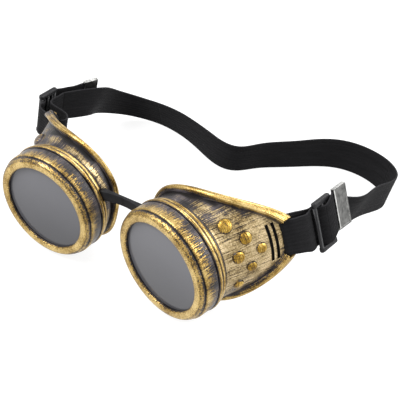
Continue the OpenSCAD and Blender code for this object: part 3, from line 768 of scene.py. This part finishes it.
# %% Both walls with their domes
LEAD_ROWS, WINDOW_TRIM = (17.0, 17.5), 0.35
for side in SIDES:
    a, shares = full_turn(288), np.linspace(0, 1, 40)
    outer = [polar(WALL_R, back, a) for back in LEAD_ROWS] + [wall_point(a, t) for t in shares]
    inner = [wall_point(a, t, WALL_T) for t in shares[::-1]]
    wall = skin(side + "_wall", seat(side, outer + inner))
    grooves = [groove_cutter(side, back) for back in (SLOT_BACK, SLOT_BACK + SLOT_PITCH)]
    cut(wall, *grooves, strap_window(side, -WINDOW_TRIM))
    paint_wall(wall, side)
    dress(wall, GOLD_CUP, side + "_cup", "aged_gold_cup", side + "_cup_wall")
    line_grooves(wall, side)
    caps = np.array([dome_cap(*place) for place in dome_places()])
    count, rings, columns = caps.shape[:3]
    faces = [face for k in range(count) for face in grid_faces(rings, columns, False, k * rings * columns)]
    domes = add_mesh(side + "_domes", seat(side, caps), faces)
    local, _, _ = cup_points(domes, side)
    gold_map(domes, local[:, 2] / BRUSH_R, local[:, 1], np.tile(dome_gold(), count) - DOME_WORN[side], ROUND)
    dress(domes, GOLD_STUD, side + "_cup", "aged_gold_cup")
print("cup walls done")

# %% [markdown]
# ## Face rims
# The rim is the rolled edge that lies against the face. Two clear faces meet in a ridge on it, and towards the
# temple it laps a little over the wall. A round tube swept along the outline would lose those faces. So the rim's
# section is drawn as rows that each follow the wall's formulas. It is cut away where the strap goes round a bar.

# %% Rims and end bars
BAR_OUT = RIM_R + WING_REACH - RIM_W - WALL_T + 0.3
BAR_BACK, END_BAR_D = WINDOW_FRONT + 3.6, 3.2
RIM_LAP, RIM_LIFT = 2.2, 0.9


def rim_edge(a):
    """The rim's outer edge: it rises a little over the strap, on its upper side."""
    return rim_radius(a) + RIM_LIFT * tip_share(a) * np.clip(np.sin(a) * 5, 0, 1)


def rim_depth(a):
    """The rim from front to back, with its lap over the wall."""
    return RIM_T + (RIM_SWELL + RIM_LAP) * tip_share(a)


def rod(name, side, centre, radius, length, columns=40):
    """An upright round bar in a cup's frame. Each end has two rings, so that its edge stays crisp."""
    turn = full_turn(columns)
    circle = centre + radius * np.stack([np.cos(turn), np.sin(turn), np.zeros(columns)], -1)
    return skin(name, seat(side, [circle + [0, 0, end * length / 2] for end in (-1, -1, 1, 1)]), True)


for side in SIDES:
    a = full_turn(360)
    r, rear, depth = rim_edge(a), rim_back(a), rim_depth(a)
    inside, front = rim_radius(a) - RIM_W, rear - depth
    foot = inside - 0.45 * RIM_LAP * tip_share(a)
    # The third number of each row is the gold. Below zero, at the rim's foot, it paints the shade where the rim meets
    # the wall near-black.
    outline = [(foot - WALL_T, front, -0.2), (foot - 0.2, front, 0.0), (foot + 0.4, front, 0.42),
               (r - 1.1, front, 0.72), (r - 0.62, front + 0.16, 1.0), (r - 0.3, front + 0.5, 1.0),
               (r - 0.12, front + 0.9, 0.9), (r, rear - depth / 2, 0.85), (r - 0.12, rear - 0.75, 0.9),
               (r - 0.4, rear - 0.3, 0.9), (r - 0.95, rear - 0.04, 0.7), (r - 1.5, rear, 0.5),
               (inside - WALL_T + 0.4, rear, 0.2), (inside - WALL_T, rear - 0.4, 0.0)]
    rim = skin(side + "_rolled_rim", seat(side, [polar(rr, bb, a) for rr, bb, _ in outline]))
    cut(rim, strap_window(side))
    local, angle, distance = cup_points(rim, side)
    out, back = distance - rim_edge(angle), local[:, 1] - rim_back(angle)
    rows = np.array([[rr[0] - r[0], bb[0] - rear[0], gold] for rr, bb, gold in outline])
    tip = tip_share(angle)
    gold = nearest_gold(out, back / rim_depth(angle) * depth[0], rows)
    gold -= 0.45 * (1 - tip) * (gold < 0.5)
    gold += 0.12 * tip * (local[:, 2] > 6) if side == "right" else -0.7 * tip ** 2
    gold_map(rim, angle, back * 0.7 + out, gold, ROUND)
    dress(rim, GOLD_RIM, side + "_cup", "aged_gold_rim", side + "_face_rim")
    bar = rod(side + "_strap_bar", side, (BAR_OUT, BAR_BACK, 0), END_BAR_D / 2, SLOT_LEN + 1.8)
    local, _, _ = cup_points(bar, side)
    gold_map(bar, local[:, 0] / BRUSH_R, local[:, 2], np.full(len(local), 0.6), ALONG)
    dress(bar, GOLD_RIM, side + "_cup", "aged_gold_rim")
print("face rims done")

# %% [markdown]
# ## Webbing
# The strap is woven elastic with ribs along its length and soft edges. A curve with a bevelled profile could draw it,
# but such a curve rolls where the band turns from upright to lying, and it keeps no length for the weave. So the
# band is swept point by point along a smooth curve. The curve goes through the rows of the solids, in finer steps.

# %% Sweeping a ribbed band
STEPS = 14


def smooth_curve(rows):
    """A curve through rows of numbers, in even steps between two rows."""
    rows, t = np.asarray(rows, float), (np.arange(STEPS) / STEPS)[:, None]
    p = np.r_[rows[:1], rows, rows[-1:]]
    out = [0.5 * (2 * b + (c - a) * t + (2 * a - 5 * b + 4 * c - d) * t * t + (3 * b - a - 3 * c + d) * t ** 3)
           for a, b, c, d in zip(p, p[1:], p[2:], p[3:])]
    return np.concatenate([*out, rows[-1:]])


RIB_PITCH, RIB_RISE = 2.05, 0.07


def band_section():
    """Half-width shares and offsets round a ribbed band, with rounded edges."""
    s = np.linspace(-1, 1, 73)
    edge = np.sqrt(np.clip(1 - ((np.abs(s) - 0.955) / 0.045).clip(0, 1) ** 2, 0.02, 1))
    ribs = RIB_RISE * np.cos(math.pi * s * STRAP_W / RIB_PITCH) * (np.abs(s) < 0.93)
    top = (STRAP_T / 2 - RIB_RISE + ribs) * edge
    return np.r_[s, s[::-1]], np.r_[top, -top[::-1]]


def band(name, centres, alongs, acrosses, widths, shift=0.0):
    """A ribbed band in whole-frame millimetres. Its weave is stored as millimetres across and along the band."""
    a, n = unit(acrosses), unit(np.cross(alongs, acrosses))
    share, height = band_section()
    points = (centres[:, None] + a[:, None] * (share[None, :, None] * widths[:, None, None] / 2)
              + n[:, None] * height[None, :, None])
    obj = skin(name, points, True)
    run = np.cumsum(np.r_[0, np.linalg.norm(np.diff(centres, axis=0), axis=1)]) + shift
    store(obj, "weave", np.stack(np.broadcast_arrays(share * STRAP_W / 2, run[:, None], 0.0), -1))
    return obj


def ways(c):
    """The direction of a line at each of its points."""
    return np.r_[[c[1] - c[0]], c[2:] - c[:-2], [c[-1] - c[-2]]]


print("points round the webbing:", len(band_section()[0]))

# %% [markdown]
# ## Routes through the buckles
# The outer layer goes from the bar in the rim over the buckle and ends in the clip. The inner layer passes behind
# the buckle and goes on as the head strap. Guide curves drawn by eye would soon touch each other here. The rows are
# worked out from the bars instead, so that the layers keep their distance from plastic and webbing.

# %% Routes through the buckles
def from_bar(*rows):
    """Rows of webbing (out, back, up, spread) from the end bar; spread is 0 where it is gathered and 1 where flat."""
    return [[BAR_OUT + out, BAR_BACK + back, up, GATHERED_W + (STRAP_W - GATHERED_W) * spread]
            for out, back, up, spread in rows]


BUCKLE = {"right": ((BAR_OUT + 3.8, BAR_BACK + 21.2, -3.6), math.radians(-4)),
          "left": ((BAR_OUT + 14.9, BAR_BACK + 12.8, -4.2), math.radians(-3))}
OUTER_PASS = BAR_D / 2 + STRAP_T / 2 + 0.35
INNER_PASS = OUTER_PASS + STRAP_T + 0.5
BAR_PASS = END_BAR_D / 2 + STRAP_T / 2 + 0.25


def buckle_place(side, along, out=0.0, up=0.0):
    """A place at a buckle in its cup's frame: along the strap, out from the plane of the bars, and up."""
    (x, y, z), t = BUCKLE[side]
    return [x + along * math.sin(t) + out * math.cos(t), y + along * math.cos(t) - out * math.sin(t), z + up]


def at_buckle(side, pitches, out, up=0.0):
    """A row of webbing at a buckle, this many bar pitches along."""
    return [*buckle_place(side, pitches * BAR_PITCH, out, up), STRAP_W]


def behind(side, *pitches):
    """Rows of the inner layer, which passes behind the buckle."""
    return [at_buckle(side, p, -INNER_PASS) for p in pitches]


def round_bar(*rows):
    """Rows (degrees, extra) round the end bar, at these angles and this much further out."""
    turns = [(math.radians(degrees), BAR_PASS + extra) for degrees, extra in rows]
    return [[BAR_OUT + r * math.cos(t), BAR_BACK + r * math.sin(t), 0, GATHERED_W] for t, r in turns]


def through_buckle(side):
    """The outer layer comes up behind the front bar and runs over the other two. It may climb on the way."""
    return [at_buckle(side, -0.9, -OUTER_PASS - 0.1), at_buckle(side, 0, OUTER_PASS + 0.3),
            at_buckle(side, 1, OUTER_PASS + 0.3, CLIMB[side])]


INNER_ROWS = {
    "right": behind("right", 1.8, 0.8, -0.2) + [at_buckle("right", -1.2, -INNER_PASS - 0.3)]
             + from_bar((-2.4, 8, -2, 0.5), (-3.2, 3, -0.6, 0.1))
             + round_bar((180, 0.6), (240, 0.3), (290, 0.3), (340, 0.1)),
    "left": behind("left", 1.8, 0.8, 0)
            + from_bar((9.8, 9.7, -3.6, 0.8), (5.6, 8.9, -3, 0.5), (1, 8.3, -2, 0.3), (-3.4, 6.9, -1, 0.1),
                       (-6.2, 3.9, -0.4, 0), (-5.6, 0.3, 0, 0))
            + round_bar((215, 0.3), (250, 0.3), (285, 0.3))}
OUTER_ROWS = {
    "right": from_bar((3.9, 1.8, -0.4, 0.1), (4.7, 5.2, -1.2, 0.4), (4.8, 8.8, -2.4, 0.8), (3.6, 12.2, -3.2, 1)),
    "left": from_bar((5, -0.9, -0.4, 0.1), (9.2, 0.5, -1.4, 0.4), (12.2, 3.5, -2.8, 0.8))}
# The last row of a tail is its cut end, in the clip.
TAIL_ROWS = {"right": from_bar((4.4, 29.3, -0.6, 1), (4.2, 37.7, -0.6, 1)),
             "left": from_bar((15.8, 21.4, -4.4, 1), (14.4, 24.8, -4.8, 1), (13.2, 28.8, -5.4, 1),
                              (12, 32.7, -6, 1), (10.8, 37.7, -6.2, 1), (7.4, 46.7, -6.2, 1))}
CLIMB = {"right": 2.0, "left": 0.0}

# %% Strap loops
for side in SIDES:
    before = len(INNER_ROWS[side]) - 1
    rows = INNER_ROWS[side] + OUTER_ROWS[side] + through_buckle(side) + TAIL_ROWS[side][:-1]
    fine = np.r_[smooth_curve(rows), TAIL_ROWS[side][-1:]]
    middle = (before + len(OUTER_ROWS[side]) + 2) * STEPS
    flat = fine[:, :3] * [1, 1, 0]
    along = ways(flat) @ AXES[side]
    centres, level = seat(side, fine[:, :3]), seat(side, flat) / 1000
    up = np.broadcast_to(AXES[side][2], centres.shape)
    spans = {"inner": (0, before * STEPS), "outer": (before * STEPS, middle), "tail": (middle, len(fine) - 1)}
    for part, (first, last) in spans.items():
        k = slice(first, last + 1)
        piece = band(f"{side}_loop_{part}", centres[k], along[k], up[k], fine[k, 3], first * 0.3)
        dress(piece, WEBBING, side + "_cup" if part == "inner" else None, "elastic", side + "_strap_loop")
        if part == "outer":
            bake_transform(piece)
        if part == "tail":
            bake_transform(piece)
print("strap loops done")

# %% [markdown]
# ## Head strap
# The strap leaves each buckle, twists a little, drops to the table and runs round the back in a loose wave. A cloth
# simulation could drop it there, but not twice in the same wave. So its route is a list of places with the lean of
# the band at each. It is three bands: one from each buckle, and the one at the back that stays where it lies.

# %% The strap on the table
REST_Z = min(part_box("right_face_rim")[0].z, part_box("left_face_rim")[0].z) * 1000
LEFT_ROUTE = [[-81.2, 85, 26, -21], [-83.4, 95, 21.6, -27], [-88.6, 104.6, 15.8, -35], [-90, 114.8, 8.9, -28],
              [-85, 124, 3.2, -21], [-75.5, 128.6, 0.4, -17]]
BACK_ROUTE = [[-66, 129.8, 0, -15], [-54, 129, 0, -11], [-42, 126.5, 0, -7], [-30, 122.5, 0, -3],
              [-19, 118.6, 0, 1], [-8, 115.6, 0, -3], [2, 118, 0, -13], [8.4, 127.6, 0, -10], [17, 135, 0, -7],
              [26, 142.4, 0, -6], [34.6, 150.6, 0, -2], [44.6, 156.8, 0, 0], [56, 158.7, 0, 3], [68, 157, 0, 6]]
RIGHT_ROUTE = [[79, 152, 0, 11], [86.4, 142.4, 1.4, 13], [87.6, 130, 5.7, 14], [86.8, 118, 11, 14],
               [86.6, 106, 15.6, 16], [87.4, 95.4, 18.6, 20], [86.6, 84.6, 21.4, 6]]
route = np.array(LEFT_ROUTE + BACK_ROUTE + RIGHT_ROUTE, float)
run = ways(route[:, :3])
level = unit(run * [1, 1, 0])
tilt = np.arctan2(run[:, 2], np.hypot(run[:, 0], run[:, 1]))
lean = np.radians(route[:, 3])
leftward = np.cross([0, 0, 1], level)
across = (np.cos(lean)[:, None] * (np.cos(tilt)[:, None] * [0, 0, 1] - np.sin(tilt)[:, None] * level)
          + np.sin(lean)[:, None] * leftward)
heights = REST_Z + route[:, 2] + STRAP_W / 2 * across[:, 2] + STRAP_T / 2 * np.sqrt(1 - across[:, 2] ** 2)
centre_rows = np.c_[route[:, :2], heights]


def join(side, pitches):
    """Where the head strap goes on from the inner layer at a buckle."""
    return seat(side, at_buckle(side, pitches, -INNER_PASS)[:3])


SMOOTHINGS = 40
centre_rows = np.r_[[join("left", 0), join("left", 1.8)], centre_rows, [join("right", 1.8), join("right", 0)]]
across_rows = np.r_[[AXES["left"][2]] * 2, across, [AXES["right"][2]] * 2]
centres, acrosses = smooth_curve(centre_rows), smooth_curve(across_rows)
for _ in range(SMOOTHINGS):
    for line in (centres, acrosses):
        line[STEPS + 2:-STEPS - 2] = (line[STEPS + 1:-STEPS - 3] + line[STEPS + 3:-STEPS - 1]) / 2
along = ways(centres)
along[STEPS] = join("left", 1.8) - join("left", 0)
along[len(along) - 1 - STEPS] = join("right", 0) - join("right", 1.8)
left_last = (len(LEFT_ROUTE) + 2) * STEPS
back_last = left_last + len(BACK_ROUTE) * STEPS
spans = {"left": (STEPS, left_last), "back": (left_last, back_last), "right": (back_last, len(centres) - 1 - STEPS)}
for part, (first, last) in spans.items():
    k = slice(first, last + 1)
    piece = band(f"head_strap_{part}", centres[k], along[k], acrosses[k], np.full(last + 1 - first, STRAP_W))
    dress(piece, WEBBING, "headband" if part == "back" else None, "elastic", "strap_" + part)
    if part != "back":
        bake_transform(piece)
print("head strap done, about", round(float(np.linalg.norm(np.diff(centres, axis=0), axis=1).sum())), "mm long")

# %% [markdown]
# ## Buckles and end clips
# The slide buckle is moulded plastic: three round bars between two rails. The clip is a folded sheet with a raised
# border that grips the strap's cut end. Both could be cut from one block, but rods and rails are quicker to round,
# and the clip needs only a box with a hollow and a sunk panel on each face. A bevel modifier rounds their edges.

# %% Slide buckles
RAIL_W, RAIL_T, RAIL_ROUND = (BUCKLE_W - STRAP_W - 0.8) / 2, BAR_D + 0.6, 0.7


def round_edges(obj, width, segments):
    bevel = obj.modifiers.new("rounded edges", "BEVEL")
    bevel.width, bevel.segments, bevel.limit_method = width / 1000, segments, "ANGLE"


def rail(name, side, end):
    """A rail of the buckle: a flat bar with round ends, across the ends of the three round bars."""
    r, low = RAIL_T / 2, end * (BUCKLE_W - RAIL_W) / 2 - RAIL_W / 2
    outline = [(middle + math.sin(w) * r, math.cos(w) * r)
               for middle, start in ((BAR_PITCH, 0), (-BAR_PITCH, math.pi))
               for w in np.linspace(start, start + math.pi, 17)]
    points = [[buckle_place(side, *spot, z) for spot in outline] for z in (low, low + RAIL_W)]
    obj = skin(name, seat(side, points), True)
    round_edges(obj, RAIL_ROUND, 4)
    return obj


for side in SIDES:
    pieces = [rod(f"{side}_buckle_bar_{k + 2}", side, buckle_place(side, k * BAR_PITCH), BAR_D / 2, BUCKLE_W - 1.2)
              for k in (-1, 0, 1)]
    pieces += [rail(f"{side}_buckle_rail_{place}", side, end) for place, end in (("bottom", -1), ("top", 1))]
    for piece in pieces:
        dress(piece, PLASTIC, side + "_slide", "black_plastic", side + "_buckle")
print("buckles done")

# %% End clips
CLIP_LEN, CLIP_T, CLIP_ROUND = 8.8, 0.5, 0.14
PANEL_END, PANEL_SIDE, PANEL_DEPTH, PANEL_AREA = 0.7, 0.8, 0.16, 2e-5
CLIP_W, CLIP_DEPTH = STRAP_W + 2 * CLIP_T + 0.4, STRAP_T + 2 * CLIP_T + 0.1


def clip_frame(side):
    """The clip's directions out, along and up in its cup's frame, and the place where the strap enters it."""
    start, end = np.array(TAIL_ROWS[side])[-2:, :3]
    d = unit(end - start)
    return np.array([[d[1], -d[0], 0], d, [0, 0, 1]]), end + d * (CLIP_T - CLIP_LEN + 0.1)


def clip_shell(name, side, *place):
    """A folded sheet: open towards the buckle, with a sunk panel on both faces."""
    h, w, inner = CLIP_DEPTH / 2, CLIP_W / 2, (STRAP_T + 0.1) / 2
    shell = block(name, side, (-h, 0, -w), (h, CLIP_LEN, w), *place)
    hollow = block("hollow", side, (-inner, -1, -w + CLIP_T), (inner, CLIP_LEN - CLIP_T, w - CLIP_T), *place)
    low, high = (PANEL_END, PANEL_SIDE - w), (CLIP_LEN - PANEL_END, w - PANEL_SIDE)
    panels = [block("panel", side, (x0, *low), (x1, *high), *place)
              for x0, x1 in ((h - PANEL_DEPTH, h + 1), (-h - 1, -h + PANEL_DEPTH))]
    cut(shell, hollow, *panels)
    round_edges(shell, CLIP_ROUND, 3)
    return shell


for side in SIDES:
    axes, entry = clip_frame(side)
    clip = clip_shell(side + "_strap_clip", side, axes, entry)
    dress(clip, STEEL, side + "_cup", "bright_steel", side + "_end_clip")
    clip.data.materials.append(STEEL_EDGE)
    facing = Vector(axes[0] @ AXES[side])
    bright = [abs(p.normal @ facing) <= 0.9 or p.area <= PANEL_AREA for p in clip.data.polygons]
    clip.data.polygons.foreach_set("material_index", bright)
print("clips done")

# %% [markdown]
# ## Nose bridge
# A soft rubber strip joins the cups. Each end thickens, narrows to a neck that passes through the cup's slot, and
# ends in a flat head inside. A box bent by a modifier would not meet both cups at their own angles, so the strip is
# a row of rounded sections, each with its own place and turn. It is made in two halves, one from each cup.

# %% Bridge halves
HEAD_H, HEAD_T, HEAD_LEN = BRIDGE_H + 2.4, NECK_T + 1.6, 1.6
HEAD_FACE = math.sqrt((WALL_R - WALL_T - BRIDGE_GAP) ** 2 - (HEAD_H / 2) ** 2)
OUTSIDE, ROOT_LEN, BOW, CORNER_R, EASE = 28.75, 1.6, 0.6, 0.55, 0.12


def on_bridge_line(side, out):
    return seat(side, [out, BRIDGE_BACK, 0] @ BRIDGE_AXES)


def rounded_box_section(thick, high, steps=5):
    """Points round a rectangle with rounded corners: (through, up)."""
    out = []
    for sx, sy, start in ((1, 1, 0), (-1, 1, 90), (-1, -1, 180), (1, -1, 270)):
        w = np.radians(np.linspace(start, start + 90, steps + 1))
        corner = (sx * (thick / 2 - CORNER_R), sy * (high / 2 - CORNER_R))
        out.append(corner + CORNER_R * np.stack([np.cos(w), np.sin(w)], -1))
    return np.concatenate(out)


def strip_section(u):
    """Place, direction and up of the strip, at a share u of the way from the left cup to the right one."""
    s = u * u * (3 - 2 * u)
    spot = ends["left"] * (1 - u) + ends["right"] * u + [0, BOW * math.sin(math.pi * u), 0]
    way = ends["right"] - ends["left"] + [0, BOW * math.pi * math.cos(math.pi * u), 0]
    ease = max(0.0, 1 - min(u, 1 - u) / EASE)
    way = unit(way) * (1 - ease) + (root_way["left"] * (1 - s) - root_way["right"] * s) * ease
    return spot, way, side_up["left"] * (1 - s) + side_up["right"] * s


ends = {side: on_bridge_line(side, OUTSIDE + ROOT_LEN) for side in SIDES}
root_way = {side: unit(ends[side] - on_bridge_line(side, OUTSIDE)) for side in SIDES}
side_up = {side: BRIDGE_AXES[2] @ AXES[side] for side in SIDES}
for side in SIDES:
    rows = [(HEAD_FACE - HEAD_LEN, HEAD_T, HEAD_H), (HEAD_FACE, HEAD_T, HEAD_H), (HEAD_FACE, NECK_T, BRIDGE_H),
            (OUTSIDE + BRIDGE_GAP, NECK_T, BRIDGE_H), (OUTSIDE + BRIDGE_GAP, ROOT_T, BRIDGE_H)]
    sections = [(on_bridge_line(side, out), root_way[side], side_up[side], thick, high) for out, thick, high in rows]
    for share in np.linspace(0, 0.5, 25):
        spot, way, upward = strip_section(share if side == "left" else 1 - share)
        thick = BRIDGE_T + (ROOT_T - BRIDGE_T) * (1 - 2 * share) ** 2
        sections.append((spot, way if side == "left" else -way, upward, thick, BRIDGE_H))
    grid = [spot + rounded_box_section(thick, high) @ [unit(np.cross(way, upward)), unit(upward)]
            for spot, way, upward, thick, high in sections]
    half = skin(f"bridge_half_{side}", grid, True)
    dress(half, RUBBER, None, "black_rubber", "nose_bridge")
    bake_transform(half)
print("nose bridge done")

# %% [markdown]
# ## Table, light and camera
# The goggles lie on white that has almost no shadow. Strong light on a white surface would wash out the gold too.
# So the table is bright only to the camera and in reflections, and otherwise takes a soft shadow. Soft lamps and a
# white world light the goggles, and the camera stands where the picture was taken: high, in front, and to one side.

# %% Stage
def seen_directly(s):
    """1 for rays that see a surface, straight, mirrored or through clear sheet, and 0 for rays that light one."""
    rays = s.node("LightPath", {}).outputs
    bounced = s.maths("MAXIMUM", rays["Is Glossy Ray"], rays["Is Transmission Ray"])
    return s.maths("MAXIMUM", rays["Is Camera Ray"], bounced)


def white_table():
    """White to the camera and in reflections, and still a surface that takes a soft shadow."""
    s = new_shader("white table")
    s.tree.nodes.clear()
    tone = s.ramp(s.object_noise(30.0), (0.3, (0.27, 0.27, 0.27)), (0.7, (0.29, 0.29, 0.29)))
    diffuse = s.node("BsdfDiffuse", {"Color": tone})
    shine = s.node("Emission", {"Strength": s.scaled(seen_directly(s), TABLE_GLOW)})
    both = s.node("AddShader", {0: diffuse.outputs[0], 1: shine.outputs[0]})
    s.node("OutputMaterial", {"Surface": both.outputs[0]})
    return s.owner


TABLE_DROP, TABLE_HALF, TABLE_GLOW = 0.12, 1500, 0.86
corners = [(x * TABLE_HALF, y * TABLE_HALF, REST_Z - TABLE_DROP) for x, y in ((-1, -1), (1, -1), (1, 1), (-1, 1))]
floor = add_mesh("table", corners, [(0, 1, 2, 3)], False)
floor.data.materials.append(white_table())

world = bpy.data.worlds.new("white room")
bpy.context.scene.world = world
room = Shader(world)
background = room.tree.nodes["Background"].inputs
background["Color"].default_value = (1, 1, 1, 1)
room.feed(background["Strength"], room.scaled(seen_directly(room), 0.5, 0.5))


def stand(name, data, place, direction):
    """Puts a lamp or the camera at a place in millimetres, so that it looks along a direction."""
    obj = bpy.data.objects.new(name, data)
    bpy.context.scene.collection.objects.link(obj)
    obj.location = Vector(place) / 1000
    obj.rotation_mode = "QUATERNION"
    obj.rotation_quaternion = Vector(direction).to_track_quat("-Z", "Y")
    return obj


def lamp(name, place, target, size, power):
    """A square soft lamp that points at a spot."""
    data = bpy.data.lights.new(name, "AREA")
    data.size, data.energy = size / 1000, power
    stand(name, data, place, Vector(target) - Vector(place))


lamp("key", (-250, -300, 620), (0, 40, 0), 420, 5.0)
lamp("side", (520, 300, 400), (0, 40, 0), 300, 3.0)
lamp("back", (0, 620, 420), (0, 60, 0), 420, 2.2)

# %% Camera
camera_data = bpy.data.cameras.new("camera")
camera_data.lens, camera_data.sensor_width = 75.6, 36
camera_data.clip_start, camera_data.clip_end = 0.01, 20
scene, camera_place = bpy.context.scene, (218.5, -216.2, 259.9)
scene.camera = stand("camera", camera_data, camera_place, (-0.4657, 0.6355, -0.6158))
scene.view_settings.view_transform = "Standard"
print("lamps:", len(bpy.data.lights), "and the camera at", [round(x, 3) for x in camera_place])
